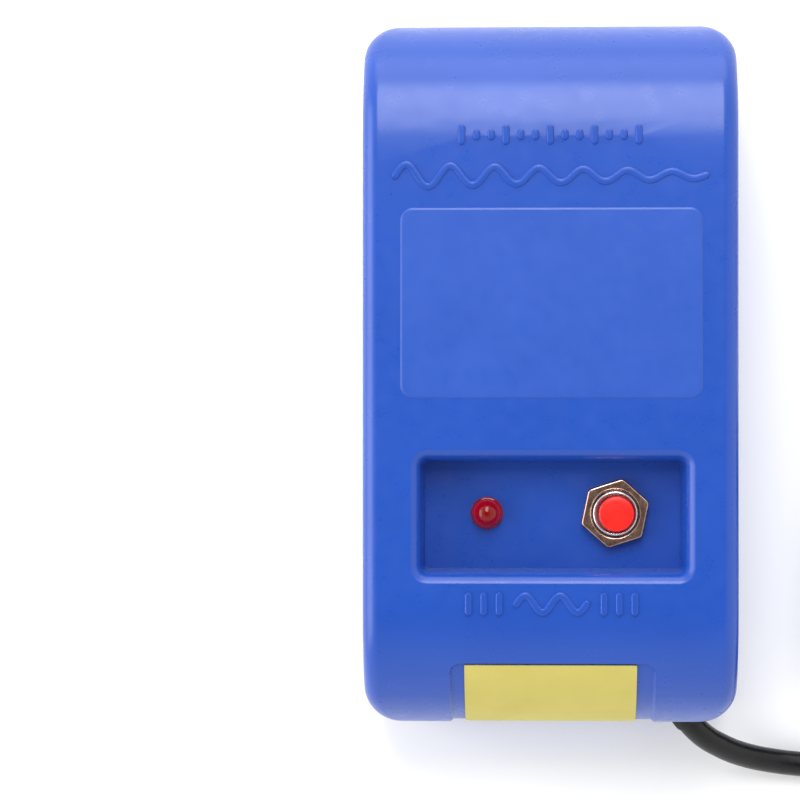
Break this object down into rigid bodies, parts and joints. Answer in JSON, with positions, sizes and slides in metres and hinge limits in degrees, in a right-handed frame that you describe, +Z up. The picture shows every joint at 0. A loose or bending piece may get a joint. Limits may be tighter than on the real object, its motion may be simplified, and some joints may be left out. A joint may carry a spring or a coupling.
{
  "type": "demagnetizer",
  "caption": "Bench demagnetizer for watch repair: a moulded box with a flat working surface over an electromagnet, a sunk well with pilot lamp and push button, and a coiled mains cord.",
  "frame": {"origin": "on the table under the middle of the housing", "axes": "+Z up, +Y towards the back of the working surface, +X to the right seen from the front, where the cord leaves"},
  "size_m": [0.1654, 0.1455, 0.0474],
  "materials": {
    "blue_abs": "satin moulded",
    "clear_film": "smooth film",
    "yellow_label": "matt printed paper",
    "black_abs": "fine texture",
    "foot_rubber": "matt",
    "red_cap": "gloss",
    "red_lens": "gloss translucent",
    "bronze_nickel": "plated",
    "bright_nickel": "plated",
    "zinc_steel": "zinc plated",
    "core_steel": "varnished laminations",
    "brass": "bright",
    "copper_wire": "enamelled wire",
    "cream_nylon": "moulded",
    "amber_tape": "film tape",
    "fish_paper": "matt insulating paper",
    "phenolic": "pressed phenolic",
    "resistor_body": "lacquered",
    "brown_wire": "insulated wire",
    "blue_wire": "insulated wire",
    "red_wire": "insulated wire",
    "cord_pvc": "satin PVC"
  },
  "bodies": {
    "housing": {"top_shell": "blue_abs", "base_plate": "black_abs", "work_surface_film": "clear_film", "front_label": "yellow_label", "rubber_foot_1": "foot_rubber", "rubber_foot_2": "foot_rubber", "rubber_foot_3": "foot_rubber", "rubber_foot_4": "foot_rubber", "base_screw_1": "zinc_steel", "base_screw_2": "zinc_steel", "base_screw_3": "zinc_steel", "base_screw_4": "zinc_steel", "core_laminations": "core_steel", "pole_insulator": "fish_paper", "coil_bobbin": "cream_nylon", "copper_winding": "copper_wire", "winding_tape": "amber_tape", "core_bracket_left": "zinc_steel", "core_bracket_right": "zinc_steel", "core_bolt_front": "zinc_steel", "core_nut_front": "zinc_steel", "core_bolt_back": "zinc_steel", "core_nut_back": "zinc_steel", "bracket_screw_1": "zinc_steel", "bracket_screw_2": "zinc_steel", "bracket_screw_3": "zinc_steel", "bracket_screw_4": "zinc_steel", "switch_body": "black_abs", "switch_bushing": "bright_nickel", "switch_lock_washer": "zinc_steel", "switch_hex_nut": "bronze_nickel", "return_spring": "zinc_steel", "switch_terminal_1": "brass", "switch_terminal_2": "brass", "pilot_lamp_lens": "red_lens", "lamp_retainer": "black_abs", "lamp_lead_1": "zinc_steel", "lamp_lead_2": "zinc_steel", "lamp_resistor": "resistor_body", "line_wire": "brown_wire", "neutral_wire": "blue_wire", "coil_wire_1": "blue_wire", "coil_wire_2": "red_wire", "lamp_wire_1": "red_wire", "lamp_wire_2": "blue_wire", "crimp_cap": "cream_nylon", "cord_bushing": "cord_pvc", "cord_clamp": "black_abs", "cord_clamp_screw_1": "zinc_steel", "cord_clamp_screw_2": "zinc_steel", "mains_cord": "cord_pvc", "cord_coil": "cord_pvc", "cord_tie": "black_abs", "cord_tail": "cord_pvc", "plug_body": "cord_pvc", "plug_blade_1": "brass", "plug_blade_2": "brass"},
    "button": {"button_cap": "red_cap", "switch_plunger": "phenolic", "contact_bridge": "brass"}
  },
  "joints": [
    {"name": "button_press", "type": "slide", "parent": "housing", "child": "button", "axis": [0, 0, -1], "range_m": [0, 0.0015], "stiffness_N_per_m": 900, "springref_m": -0.0009, "deforming": ["return_spring"]}
  ]
}
